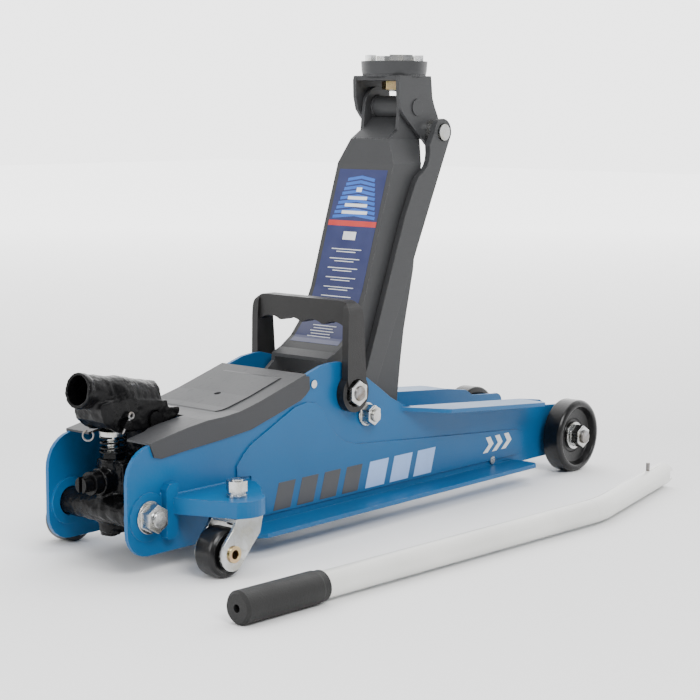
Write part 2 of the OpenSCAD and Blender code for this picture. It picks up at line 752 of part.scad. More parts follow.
// hollow rivet that the caster wheel turns on
module caster_rivet(s) {
  color(yellow_zinc) place() side(s) translate([0, swivel_y, 0]) difference() {
    union() {
      ycyl(caster_x, caster_r, rivet_r, -fork_half, fork_half);
      for (m = [0, 1]) mirror([0, m, 0]) ycyl(caster_x, caster_r, 5.4, fork_half, fork_half + 1.4);
    }
    ycyl(caster_x, caster_r, rivet_r - 1.1, -20, 20);
  }
}
module caster_rivet_right() { caster_rivet(-1); }
module caster_rivet_left() { caster_rivet(1); }
module caster_fork_right() { caster_fork(-1); }
module caster_fork_left() { caster_fork(1); }
module caster_half() {
  h = caster_w / 2;
  polygon([[rivet_r + run, 0], [rivet_r + run, h + 0.6], [7, h + 0.6], [8, h - 0.6],
    [caster_r - 3.8, h - 0.6], [caster_r - 3.2, h], [caster_r - 2, h], [caster_r - 0.4, h - 1.4],
    [caster_r, h - 3.4], [caster_r, 0]]);
}
module caster_wheel(s) {
  color(black) place() side(s) translate([caster_x, swivel_y, caster_r]) rotate([-90, 0, 0])
    rotate_extrude() for (m = [0, 1]) mirror([0, m]) caster_half();
}
module caster_wheel_right() { caster_wheel(-1); }
module caster_wheel_left() { caster_wheel(1); }

// pump handle: a grip, a long straight run, a bend of fifteen degrees and a short run
grip_start = [-23, -154];
run_one = 352;
run_two = 143;
head_one = -2.8;
head_two = 12.7;
bend_r = 90;
tube_wall = 1.8;
// the spring pin that locks into the socket, measured back from the end of the tube
spring_pin_d = 3;
spring_pin_at = 37;
bend_x = grip_start[0] + run_one * cos(head_one);
bend_y = grip_start[1] + run_one * sin(head_one);
bend_t = bend_r * tan((head_two - head_one) / 2);
module run_a() {
  translate([grip_start[0], grip_start[1], grip_r]) rotate([0, 0, head_one]) children();
}
module run_b() {
  translate([bend_x, bend_y, grip_r]) rotate([0, 0, head_two]) children();
}
// the straight runs reach this far into the bend
bend_lap = 0.5;
module tube_path(d, extra) {
  run_a() translate([8 - extra, 0, 0]) rotate([0, 90, 0])
    cylinder(d = d, h = run_one - bend_t - 8 + extra + bend_lap);
  run_a() translate([run_one - bend_t, bend_r, 0]) rotate([0, 0, -90])
    rotate_extrude(angle = head_two - head_one) translate([bend_r, 0]) circle(d = d + 0.2);
  run_b() translate([bend_t - bend_lap, 0, 0]) rotate([0, 90, 0])
    cylinder(d = d, h = run_two - bend_t + extra + bend_lap);
}
module handle_tube() {
  color([0.86, 0.86, 0.84]) place() difference() {
    tube_path(tube_d, 0);
    tube_path(tube_d - 2 * tube_wall, 1);
    run_b() translate([run_two - spring_pin_at, 0, 0]) cylinder(d = spring_pin_d, h = tube_d);
    // slot across the end, which turns the release valve
    run_b() translate([run_two - 7, -tube_d, -3]) cube([10, 2 * tube_d, 6]);
  }
}
module handle_grip() {
  color(black) place() difference() {
    run_a() rotate([0, 90, 0]) rotate_extrude()
      polygon([[0, 0], [8.4, 0], [grip_r, 2], [grip_r, 62], [9.6, 63], [9.6, 68],
        [tube_d / 2, 68], [tube_d / 2, 8], [0, 8]]);
    run_a() translate([-1, 0, 0]) rotate([0, 90, 0]) cylinder(r = 2.5, h = 6);
  }
}
module handle_pin() {
  color(steel) place() run_b() translate([run_two - spring_pin_at, 0, 0])
    cylinder(d = spring_pin_d, h = tube_d / 2 + 6);
}

side_plate_right();
side_plate_left();
cover_plate();
plate_rivets();
cross_tie();
rear_studs();
rear_nuts();
pump_body();
pump_gland();
ram_cylinder();
reservoir_tank();
ram_gland();
filler_plug();
release_body();
release_knuckle();
plunger();
plunger_spring();
ram_rod();
ram_piston();
ram_head();
handle_socket();
socket_pin();
socket_roller();
split_pins();
main_shaft();
shaft_spacers();
main_nuts();
link_bolts();
link_nuts();
front_axle();
axle_spacers();
axle_washers();
axle_nuts();
lift_arm();
lever_pin();
lever_roller();
link_bar_right();
link_bar_left();
saddle_bracket();
saddle_cup();
arm_pin();
link_pins();
saddle();
saddle_nut();
carry_handle();
front_wheel_right();
front_wheel_left();
caster_bracket_right();
caster_bracket_left();
swivel_bolts();
swivel_nuts();
caster_fork_right();
caster_fork_left();
caster_wheel_right();
caster_wheel_left();
caster_rivet_right();
caster_rivet_left();
handle_tube();
handle_grip();
handle_pin();
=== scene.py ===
"""Looks of a two-tonne low-entry trolley jack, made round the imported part.

Metres, in the part's own frame: +X to the fixed front wheels, +Y to the left, +Z up, floor at 0.
"""
import json
import math

import bpy
from mathutils import Matrix, Vector, noise as solid_noise

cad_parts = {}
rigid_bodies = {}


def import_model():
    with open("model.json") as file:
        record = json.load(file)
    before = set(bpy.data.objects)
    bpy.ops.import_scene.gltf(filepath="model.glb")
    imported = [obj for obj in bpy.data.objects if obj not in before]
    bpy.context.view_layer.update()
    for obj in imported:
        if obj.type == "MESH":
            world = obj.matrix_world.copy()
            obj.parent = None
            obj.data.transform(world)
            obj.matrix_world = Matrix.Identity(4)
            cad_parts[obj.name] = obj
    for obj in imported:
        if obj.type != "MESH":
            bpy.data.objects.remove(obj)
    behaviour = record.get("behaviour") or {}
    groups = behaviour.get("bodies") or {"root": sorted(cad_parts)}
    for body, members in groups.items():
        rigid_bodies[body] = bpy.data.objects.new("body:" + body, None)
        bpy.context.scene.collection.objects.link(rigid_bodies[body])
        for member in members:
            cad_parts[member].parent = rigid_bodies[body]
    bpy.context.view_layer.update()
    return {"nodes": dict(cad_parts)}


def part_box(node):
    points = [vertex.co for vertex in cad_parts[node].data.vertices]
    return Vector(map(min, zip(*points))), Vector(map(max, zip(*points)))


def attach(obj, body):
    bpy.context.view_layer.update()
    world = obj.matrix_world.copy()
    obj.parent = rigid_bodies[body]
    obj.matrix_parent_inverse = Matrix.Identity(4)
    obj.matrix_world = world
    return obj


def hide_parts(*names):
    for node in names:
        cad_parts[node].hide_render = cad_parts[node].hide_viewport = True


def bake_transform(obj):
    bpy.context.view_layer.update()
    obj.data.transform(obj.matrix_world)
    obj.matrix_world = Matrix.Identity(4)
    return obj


for leftover in list(bpy.data.objects):
    bpy.data.objects.remove(leftover)
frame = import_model()
packed_materials = [m for m in bpy.data.materials if m.users]

MM = 0.001
NODES = frame["nodes"]
SIDES = (("right", -1), ("left", 1))


def middle(node):
    low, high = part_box(node)
    return (low + high) / 2


def end_middle(node, side):
    """Centre of a fastener that stands in mirrored pairs, on the given side."""
    low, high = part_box(node)
    return Vector(((low.x + high.x) / 2, high.y if side > 0 else low.y, (low.z + high.z) / 2))


# ---------------------------------------------------------------- node graph helpers

def add(tree, kind, settings=(), **inputs):
    node = tree.nodes.new(kind)
    for key, value in dict(settings).items():
        setattr(node, key, value)
    for key, value in inputs.items():
        socket = node.inputs[key.replace("_", " ")]
        if isinstance(value, bpy.types.NodeSocket):
            tree.links.new(value, socket)
        else:
            socket.default_value = value
    return node


def noise(tree, place, scale, detail=4.0, rough=0.55, distortion=0.0):
    made = add(tree, "ShaderNodeTexNoise", Vector=place, Scale=scale, Detail=detail, Roughness=rough,
               Distortion=distortion)
    return made.outputs["Fac"]


def span(tree, value, low, high, to_low=0.0, to_high=1.0):
    made = add(tree, "ShaderNodeMapRange", {"clamp": True}, Value=value, From_Min=low, From_Max=high,
               To_Min=to_low, To_Max=to_high)
    return made.outputs["Result"]


def math_node(tree, operation, a, b):
    made = tree.nodes.new("ShaderNodeMath")
    made.operation = operation
    for index, value in enumerate((a, b)):
        if isinstance(value, bpy.types.NodeSocket):
            tree.links.new(value, made.inputs[index])
        else:
            made.inputs[index].default_value = value
    return made.outputs[0]


def mix(tree, share, a, b):
    made = tree.nodes.new("ShaderNodeMix")
    made.data_type = "RGBA"
    factor, first, second = made.inputs[0], made.inputs[6], made.inputs[7]
    tree.links.new(share, factor)
    for socket, value in ((first, a), (second, b)):
        if isinstance(value, bpy.types.NodeSocket):
            tree.links.new(value, socket)
        else:
            socket.default_value = (*value, 1.0)
    return made.outputs[2]


def edge_mask(tree, radius):
    """1 where the surface turns sharply within radius, 0 on open faces."""
    rounded = add(tree, "ShaderNodeBevel", {"samples": 6}, Radius=radius)
    true = tree.nodes.new("ShaderNodeNewGeometry")
    dot = add(tree, "ShaderNodeVectorMath", {"operation": "DOT_PRODUCT"})
    tree.links.new(rounded.outputs["Normal"], dot.inputs[0])
    tree.links.new(true.outputs["True Normal"], dot.inputs[1])
    return span(tree, dot.outputs["Value"], 0.985, 0.86)


def surface(name, metallic=0.0, coat=0.0, coat_rough=0.1, specular=0.5):
    """A new material: its tree, its shader node and object-space coordinates."""
    made = bpy.data.materials.new(name)
    made.use_nodes = True
    tree = made.node_tree
    shader = tree.nodes["Principled BSDF"]
    shader.inputs["Metallic"].default_value = metallic
    shader.inputs["Coat Weight"].default_value = coat
    shader.inputs["Coat Roughness"].default_value = coat_rough
    shader.inputs["Specular IOR Level"].default_value = specular
    place = tree.nodes.new("ShaderNodeTexCoord").outputs["Object"]
    return made, tree, shader, place


def finish_surface(tree, shader, colour, roughness, height, depth, strength=1.0):
    bump = add(tree, "ShaderNodeBump", Strength=strength, Distance=depth, Height=height)
    tree.links.new(colour, shader.inputs["Base Color"])
    tree.links.new(roughness, shader.inputs["Roughness"])
    tree.links.new(bump.outputs["Normal"], shader.inputs["Normal"])


def tint(colour, factor):
    return tuple(min(1.0, c * factor) for c in colour)


# ---------------------------------------------------------------- materials

def paint(name, colour, worn, rough, coat, peel_scale, peel_depth, wear, scuffs):
    """Powder coat: orange peel, slow colour drift, chipped edges and light scuffs."""
    made, tree, shader, place = surface(name, coat=coat, coat_rough=0.2, specular=0.32)
    drift = noise(tree, place, 14.0, 2.0)
    peel = noise(tree, place, peel_scale, 3.0, 0.5)
    speck = noise(tree, place, 420.0, 5.0, 0.7)
    scratch_place = add(tree, "ShaderNodeMapping", Vector=place, Scale=(60.0, 420.0, 900.0),
                        Rotation=(0.0, 0.5, 0.3)).outputs["Vector"]
    scratch = noise(tree, scratch_place, 1.0, 4.0, 0.6, 0.8)
    body = mix(tree, span(tree, drift, 0.3, 0.7), tint(colour, 0.93), tint(colour, 1.06))
    body = mix(tree, span(tree, speck, 0.66, 0.78, 0.0, 0.25), body, tint(colour, 0.7))
    chips = math_node(tree, "MULTIPLY", edge_mask(tree, 0.8 * MM), span(tree, speck, 0.5, 0.6, 0.0, wear))
    lines = span(tree, scratch, 0.7, 0.78, 0.0, scuffs)
    body = mix(tree, lines, body, tint(colour, 1.35))
    body = mix(tree, chips, body, worn)
    shine = span(tree, drift, 0.25, 0.75, rough - 0.05, rough + 0.06)
    shine = math_node(tree, "ADD", shine, span(tree, scratch, 0.55, 0.8, 0.0, 0.12))
    finish_surface(tree, shader, body, shine, peel, peel_depth)
    return made


def casting(name, colour, rough, coat, lump_depth, grain_scale):
    """Lacquered sand casting: coarse lumps, fine grain, rubbed high spots."""
    made, tree, shader, place = surface(name, coat=coat, coat_rough=0.08, specular=0.13)
    coarse = noise(tree, place, 480.0, 2.0, 0.5)
    grain = noise(tree, place, grain_scale, 6.0, 0.65)
    grime = noise(tree, place, 46.0, 5.0, 0.6)
    height = math_node(tree, "ADD", math_node(tree, "MULTIPLY", coarse, 0.75),
                       math_node(tree, "MULTIPLY", grain, 0.3))
    body = mix(tree, span(tree, grime, 0.35, 0.7), tint(colour, 0.75), tint(colour, 1.35))
    rubbed = math_node(tree, "MULTIPLY", edge_mask(tree, 0.9 * MM), span(tree, grain, 0.5, 0.62, 0.0, 0.35))
    body = mix(tree, rubbed, body, (0.06, 0.06, 0.06))
    shine = span(tree, grime, 0.3, 0.7, rough - 0.09, rough + 0.12)
    finish_surface(tree, shader, body, shine, height, lump_depth)
    return made


def plating(name, colour, stain, rough, grain_depth):
    """Electroplated steel: faint stains and drawn grain."""
    made, tree, shader, place = surface(name, metallic=1.0)
    stains = noise(tree, place, 120.0, 4.0, 0.6, 0.6)
    drawn = add(tree, "ShaderNodeMapping", Vector=place, Scale=(1.0, 0.12, 1.0)).outputs["Vector"]
    grain = noise(tree, drawn, 2600.0, 3.0, 0.5)
    body = mix(tree, span(tree, stains, 0.4, 0.68), colour, stain)
    shine = span(tree, stains, 0.3, 0.7, rough - 0.06, rough + 0.1)
    shine = math_node(tree, "ADD", shine, span(tree, grain, 0.4, 0.7, 0.0, 0.06))
    finish_surface(tree, shader, body, shine, grain, grain_depth)
    return made


def moulded(name, colour, rough, grain_scale, grain_depth, rub):
    """Moulded plastic or rubber: fine spark-eroded grain, paler where hands and floors rub it."""
    made, tree, shader, place = surface(name, specular=0.4)
    cells = add(tree, "ShaderNodeTexVoronoi", Vector=place, Scale=grain_scale).outputs["Distance"]
    cloud = noise(tree, place, 60.0, 4.0)
    body = mix(tree, span(tree, cloud, 0.35, 0.7), tint(colour, 0.85), tint(colour, 1.25))
    rubbed = math_node(tree, "MULTIPLY", edge_mask(tree, 1.2 * MM), span(tree, cloud, 0.4, 0.65, 0.0, rub))
    body = mix(tree, rubbed, body, tint(colour, 3.5))
    shine = span(tree, cloud, 0.3, 0.7, rough - 0.06, rough + 0.08)
    finish_surface(tree, shader, body, shine, cells, grain_depth)
    return made


def vinyl(name, colour, rough=0.34):
    """Printed film: faint mottling and a barely rippled surface."""
    made, tree, shader, place = surface(name, coat=0.25, coat_rough=0.12)
    mottle = noise(tree, place, 90.0, 3.0)
    ripple = noise(tree, place, 260.0, 2.0)
    body = mix(tree, span(tree, mottle, 0.3, 0.7), tint(colour, 0.93), tint(colour, 1.05))
    shine = span(tree, mottle, 0.3, 0.7, rough - 0.05, rough + 0.07)
    finish_surface(tree, shader, body, shine, ripple, 0.04 * MM)
    return made


PRIMER = (0.16, 0.16, 0.16)
LOOKS = {
    "blue_paint": paint("blue_paint", (0.0, 0.092, 0.245), PRIMER, 0.42, 0.08, 700.0, 0.05 * MM, 0.55, 0.25),
    "grey_paint": paint("grey_paint", (0.038, 0.039, 0.042), PRIMER, 0.5, 0.04, 800.0, 0.05 * MM, 0.5, 0.3),
    "charcoal_paint": paint("charcoal_paint", (0.036, 0.037, 0.039), PRIMER, 0.48, 0.04, 800.0,
                            0.05 * MM, 0.5, 0.3),
    "white_paint": paint("white_paint", (0.72, 0.72, 0.69), (0.3, 0.3, 0.3), 0.32, 0.3, 500.0,
                         0.03 * MM, 0.3, 0.1),
    "black_wheel": paint("black_wheel", (0.004, 0.004, 0.0045), (0.06, 0.06, 0.06), 0.27, 0.12, 400.0,
                         0.12 * MM, 0.5, 0.3),
    "black_cast": casting("black_cast", (0.003, 0.003, 0.0034), 0.26, 0.06, 0.25 * MM, 1500.0),
    "black_plastic": moulded("black_plastic", (0.009, 0.0085, 0.0085), 0.46, 1700.0, 0.09 * MM, 0.4),
    "black_rubber": moulded("black_rubber", (0.008, 0.008, 0.008), 0.6, 1100.0, 0.14 * MM, 0.3),
    "zinc": plating("zinc", (0.56, 0.57, 0.58), (0.42, 0.41, 0.36), 0.2, 0.005 * MM),
    "yellow_zinc": plating("yellow_zinc", (0.62, 0.5, 0.24), (0.5, 0.3, 0.2), 0.26, 0.005 * MM),
    "bare_steel": plating("bare_steel", (0.3, 0.3, 0.31), (0.17, 0.14, 0.11), 0.28, 0.01 * MM),
}
FILM = {
    "film_navy": vinyl("film_navy", (0.012, 0.02, 0.1)),
    "film_blue": vinyl("film_blue", (0.02, 0.12, 0.5)),
    "film_red": vinyl("film_red", (0.5, 0.03, 0.025)),
    "film_white": vinyl("film_white", (0.72, 0.74, 0.76)),
    "film_grey": vinyl("film_grey", (0.03, 0.031, 0.036)),
    "film_pale": vinyl("film_pale", (0.3, 0.46, 0.78)),
}

# the bevel that takes the sharpness off a node's edges
SMALL_EDGE = 0.3 * MM
EDGES = {
    "carry_handle": 1.6 * MM, "caster_bracket_right": 2.2 * MM, "caster_bracket_left": 2.2 * MM,
    "front_wheel_right": 0.6 * MM,
    "front_wheel_left": 0.6 * MM, "lift_arm": 0.9 * MM, "cover_plate": 0.5 * MM,
    "side_plate_right": 0.5 * MM, "side_plate_left": 0.5 * MM, "link_bar_right": 0.5 * MM,
    "link_bar_left": 0.5 * MM, "saddle_bracket": 0.6 * MM, "saddle": 0.5 * MM,
    "caster_fork_right": 0.5 * MM, "caster_fork_left": 0.5 * MM, "rear_nuts": 0.45 * MM,
    "main_nuts": 0.8 * MM, "link_nuts": 0.7 * MM, "axle_nuts": 0.8 * MM, "swivel_nuts": 0.6 * MM,
    "handle_tube": 0.5 * MM, "handle_grip": 0.7 * MM, "rear_studs": 0.5 * MM, "main_shaft": 0.5 * MM,
}


def dress(node, obj):
    for holder in obj.material_slots:
        holder.material = LOOKS[holder.material.name.split(".")[0]]
    weld = obj.modifiers.new("weld", "WELD")
    weld.merge_threshold = 0.002 * MM
    bevel = obj.modifiers.new("edges", "BEVEL")
    bevel.width = EDGES.get(node, SMALL_EDGE)
    bevel.segments = 3
    bevel.limit_method = "ANGLE"
    bevel.angle_limit = math.radians(34)
    bevel.harden_normals = True
    even = obj.modifiers.new("normals", "WEIGHTED_NORMAL")
    even.keep_sharp = True


for node, obj in NODES.items():
    dress(node, obj)
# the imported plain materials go, and the new ones take over their names
for plain in packed_materials:
    if not plain.users:
        bpy.data.materials.remove(plain)
for slot, made in LOOKS.items():
    made.name = slot


# ---------------------------------------------------------------- mesh helpers

def piece(name, body, points, faces, material, smooth=False):
    """A mesh object. A sticker has no slot, because its film is none of the record's finishes."""
    mesh = bpy.data.meshes.new(name)
    mesh.from_pydata([tuple(p) for p in points], [], faces)
    mesh.validate()
    for face in mesh.polygons:
        face.use_smooth = smooth
    mesh.materials.append(material)
    obj = bpy.data.objects.new(name, mesh)
    bpy.context.scene.collection.objects.link(obj)
    if body:
        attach(obj, body)
    return obj


def sweep(path, radius, sides):
    """Points and faces of a closed round rod along path. radius is a number, or a function of 0 to 1."""
    points, faces = [], []
    size = radius if callable(radius) else (lambda t: radius)
    across = (path[1] - path[0]).normalized().orthogonal()
    for i, here in enumerate(path):
        ahead = (path[min(i + 1, len(path) - 1)] - path[max(i - 1, 0)]).normalized()
        across = (across - ahead * across.dot(ahead)).normalized()
        up = ahead.cross(across)
        for k in range(sides):
            turn = 2 * math.pi * k / sides
            reach = size(i / (len(path) - 1))
            points.append(here + (across * math.cos(turn) + up * math.sin(turn)) * reach)
    for i in range(len(path) - 1):
        for k in range(sides):
            n = (k + 1) % sides
            faces.append((i * sides + k, i * sides + n, (i + 1) * sides + n, (i + 1) * sides + k))
    faces.append(tuple(reversed(range(sides))))
    faces.append(tuple((len(path) - 1) * sides + k for k in range(sides)))
    return points, faces


def helix(centre, axis, radius, length, turns, steps=24):
    axis = Vector(axis).normalized()
    side = axis.orthogonal().normalized()
    other = axis.cross(side)
    count = int(turns * steps)
    path = []
    for i in range(count + 1):
        turn = 2 * math.pi * turns * i / count
        path.append(centre + axis * (length * i / count)
                    + (side * math.cos(turn) + other * math.sin(turn)) * radius)
    return path


class Slabs:
    """Thin flat slabs gathered into one piece."""

    def __init__(self):
        self.points = []
        self.faces = []

    def add(self, corners, lift):
        """One slab on a face: its corners in order, and the vector from the face to its top."""
        start = len(self.points)
        count = len(corners)
        self.points += list(corners)
        self.points += [corner + lift for corner in corners]
        self.faces.append(tuple(start + k for k in reversed(range(count))))
        self.faces.append(tuple(start + count + k for k in range(count)))
        for k in range(count):
            n = (k + 1) % count
            self.faces.append((start + k, start + n, start + count + n, start + count + k))

    def build(self, name, body, film):
        return piece(name, body, self.points, self.faces, FILM[film])


# ---------------------------------------------------------------- sand castings

def cast(node, body, voxel, rounds, depth, size):
    """A rough casting in place of a node: remeshed, softened, and sunk unevenly by up to depth."""
    source = NODES[node]
    rough = bpy.data.objects.new(node + "_rough", source.data.copy())
    bpy.context.scene.collection.objects.link(rough)
    remesh = rough.modifiers.new("remesh", "REMESH")
    remesh.mode = "VOXEL"
    remesh.voxel_size = voxel
    soften = rough.modifiers.new("soften", "SMOOTH")
    soften.factor, soften.iterations = 0.5, rounds
    graph = bpy.context.evaluated_depsgraph_get()
    mesh = bpy.data.meshes.new_from_object(rough.evaluated_get(graph))
    bpy.data.objects.remove(rough)
    normals = [tuple(v.normal) for v in mesh.vertices]
    for vertex, normal in zip(mesh.vertices, normals):
        wave = solid_noise.fractal(vertex.co / size, 0.7, 2.1, 3)
        vertex.co -= Vector(normal) * depth * min(1.0, max(0.0, 0.5 + 0.6 * wave))
    mesh.materials.clear()
    mesh.materials.append(LOOKS["black_cast"])
    for face in mesh.polygons:
        face.use_smooth = True
    obj = bpy.data.objects.new(node + "_casting", mesh)
    bpy.context.scene.collection.objects.link(obj)
    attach(obj, body)
    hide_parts(node)


cast("handle_socket", "handle_socket", 0.8 * MM, 5, 0.7 * MM, 7 * MM)
cast("pump_body", "chassis", 1.0 * MM, 4, 0.9 * MM, 6 * MM)


# ---------------------------------------------------------------- threads on the fasteners

def thread(name, body, outer_end, direction, radius, length, slot):
    """The ridge of a screw thread, wound inward from the end of a bolt."""
    pitch = 1.25 * MM
    inward = -Vector(direction).normalized()
    start = outer_end + inward * 0.35 * MM
    path = helix(start, inward, radius, length, length / pitch)
    points, faces = sweep(path, lambda t: 0.3 * MM * min(1.0, 6 * t + 0.2, 6 * (1 - t) + 0.2), 6)
    return piece(name, body, points, faces, LOOKS[slot], True)


M10, M8 = 4.95 * MM, 3.95 * MM
# radius of the swivel bolt's head, the widest part of it
SWIVEL_HEAD = 6.5 * MM
for word, side in SIDES:
    outward = (0, side, 0)
    thread("main_shaft_thread_" + word, "chassis", end_middle("main_shaft", side), outward, M10, 1.2 * MM,
           "bare_steel")
    thread("axle_thread_" + word, "chassis", end_middle("front_axle", side), outward, M10, 2.0 * MM,
           "bare_steel")
    thread("rear_stud_thread_" + word, "chassis", end_middle("rear_studs", side), outward, M10, 2.0 * MM,
           "zinc")
    thread("link_bolt_thread_" + word, "chassis", end_middle("link_bolts", side), outward, M8, 1.8 * MM,
           "zinc")
    swivel_low, swivel_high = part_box("swivel_bolts")
    swivel_y = swivel_high.y - SWIVEL_HEAD if side > 0 else swivel_low.y + SWIVEL_HEAD
    top = Vector((middle("swivel_bolts").x, swivel_y, swivel_high.z))
    thread("swivel_thread_" + word, "chassis", top, (0, 0, 1), M8, 1.0 * MM, "zinc")


# ---------------------------------------------------------------- plunger return spring

def spring():
    low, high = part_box("plunger_spring")
    wire = 0.65 * MM
    radius = (high.x - low.x) / 2 - wire
    foot = Vector(((low.x + high.x) / 2, (low.y + high.y) / 2, low.z + wire))
    path = helix(foot, (0, 0, 1), radius, high.z - low.z - 2 * wire, 2.5, 40)
    points, faces = sweep(path, wire, 12)
    made = piece("return_spring", None, points, faces, LOOKS["black_cast"], True)
    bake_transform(made)
    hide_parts("plunger_spring")


spring()


# ---------------------------------------------------------------- weld beads

def bead(name, body, path, size, slot, closed=False):
    """A hand-laid weld: a half-sunk rod with the ripples of its puddles."""
    fine = []
    for a, b in zip(path, path[1:]):
        steps = max(2, int((b - a).length / (0.6 * MM)))
        fine += [a.lerp(b, i / steps) for i in range(steps)]
    fine.append(path[-1])
    length = sum((b - a).length for a, b in zip(fine, fine[1:]))
    ripples = length / (2.2 * MM)

    def swell(t):
        taper = 1.0 if closed else min(1.0, 12 * t + 0.35, 12 * (1 - t) + 0.35)
        phase = 2 * math.pi * ripples * t
        wander = 0.1 * math.sin(phase) + 0.06 * math.sin(0.37 * phase)
        return size * taper * (1 + wander)

    points, faces = sweep(fine, swell, 12)
    return piece(name, body, points, faces, LOOKS[slot], True)


def arc_points(centre, radius, start, stop, count, across=(1, 0, 0), up=(0, 0, 1)):
    across, up = Vector(across), Vector(up)
    turns = [math.radians(start + (stop - start) * i / count) for i in range(count + 1)]
    return [centre + across * math.cos(a) * radius + up * math.sin(a) * radius for a in turns]


# height of a caster bracket's lobe above its lowest edge, and length of its upright weld pad
LOBE_TOP, PAD_LENGTH = 26.5 * MM, 10 * MM
# the floor brace is a plate this thick, welded along its upper edges
BRACE_THICK = 3 * MM
for word, side in SIDES:
    low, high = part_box("caster_bracket_" + word)
    face_y = low.y if side > 0 else high.y
    bead("bracket_weld_top_" + word, "chassis",
         [Vector((low.x + PAD_LENGTH + 2 * MM, face_y, low.z + LOBE_TOP)),
          Vector((high.x - 2 * MM, face_y, low.z + LOBE_TOP))], 1.3 * MM, "blue_paint")
    bead("bracket_weld_rear_" + word, "chassis",
         [Vector((low.x, face_y, low.z + 4 * MM)), Vector((low.x, face_y, high.z - 5 * MM))],
         1.1 * MM, "blue_paint")
tie_low, tie_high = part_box("cross_tie")
for word, side in SIDES:
    brace_y = (tie_high.y if side > 0 else tie_low.y) - side * 0.4 * MM
    bead("brace_weld_" + word, "chassis",
         [Vector((tie_low.x + 1 * MM, brace_y, tie_low.z + BRACE_THICK)),
          Vector((tie_high.x - 1 * MM, brace_y, tie_low.z + BRACE_THICK))], 1.4 * MM, "blue_paint")

cup = middle("saddle_cup")
cup_foot = Vector((cup.x, cup.y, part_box("saddle_cup")[0].z + 0.6 * MM))
bead("cup_weld", "saddle_head", arc_points(cup_foot, 21.3 * MM, 0, 360, 72, up=(0, 1, 0)), 1.9 * MM,
     "charcoal_paint", True)

top_pin = middle("arm_pin")
for word, side in SIDES:
    tube_end = top_pin + Vector((0, side * 14.2 * MM, 0))
    bead("pin_tube_weld_" + word, "saddle_head", arc_points(tube_end, 8.5 * MM, 0, 360, 48), 1.0 * MM,
         "charcoal_paint", True)
bead("closing_weld", "lift_arm",
     [top_pin + Vector((-26 * MM, y * MM, -23.2 * MM)) for y in (-15, 0, 15)], 1.2 * MM, "charcoal_paint")

# eye of the return spring's hook, under the far cheek of the handle socket
hook = middle("socket_roller") + Vector((-9 * MM, 11 * MM, -9 * MM))
hook_points, hook_faces = sweep(arc_points(hook, 3.4 * MM, 100, 400, 28, (0.65, -0.76, 0)), 0.65 * MM, 10)
piece("spring_hook", "handle_socket", hook_points, hook_faces, LOOKS["bare_steel"], True)


# ---------------------------------------------------------------- stickers

FILM_THICK = 0.12 * MM
# from the middle plane to the face of the raised panel
PANEL_OUT = 39.7 * MM
shaft = middle("main_shaft")


def plate_stickers(word, side):
    """Plain slanted stripes and a pair of chevrons on the raised panel of a side plate."""
    face = shaft.y + side * PANEL_OUT
    lift = Vector((0, side * FILM_THICK, 0))
    slant = 0.3

    def corner(x, z):
        return Vector((shaft.x + x * MM + slant * z * MM, face, z * MM))

    def block(film, name, starts, width, z0, z1):
        slabs = Slabs()
        for x in starts:
            shape = [corner(x, z0), corner(x + width, z0), corner(x + width, z1), corner(x, z1)]
            slabs.add(shape if side < 0 else list(reversed(shape)), lift)
        slabs.build(name + "_" + word, "chassis", film)

    block("film_grey", "dark_stripes", [-86 + 23.5 * i for i in range(4)], 17, 22.5, 41)
    block("film_pale", "pale_stripes", [10 + 27.5 * i for i in range(3)], 21, 22.5, 41)
    slabs = Slabs()
    for start in (150, 162, 174):
        arrow = [corner(start, 27), corner(start + 6, 27), corner(start + 12, 33), corner(start + 6, 39),
                 corner(start, 39), corner(start + 6, 33)]
        slabs.add(arrow if side < 0 else list(reversed(arrow)), lift)
    slabs.build("white_arrows_" + word, "chassis", "film_white")


for word, side in SIDES:
    plate_stickers(word, side)


def web_line(low_z, high_z, count=120):
    """Points down the middle of the arm's rear face, from high_z to low_z."""
    arm = NODES["lift_arm"]
    y = middle("lift_arm").y
    line = []
    for i in range(count + 1):
        z = high_z + (low_z - high_z) * i / count
        hit, point, _, _ = arm.ray_cast(Vector((-1.0, y, z)), Vector((1, 0, 0)))
        if hit:
            line.append(point)
    return line


LABEL_THICK = 0.08 * MM


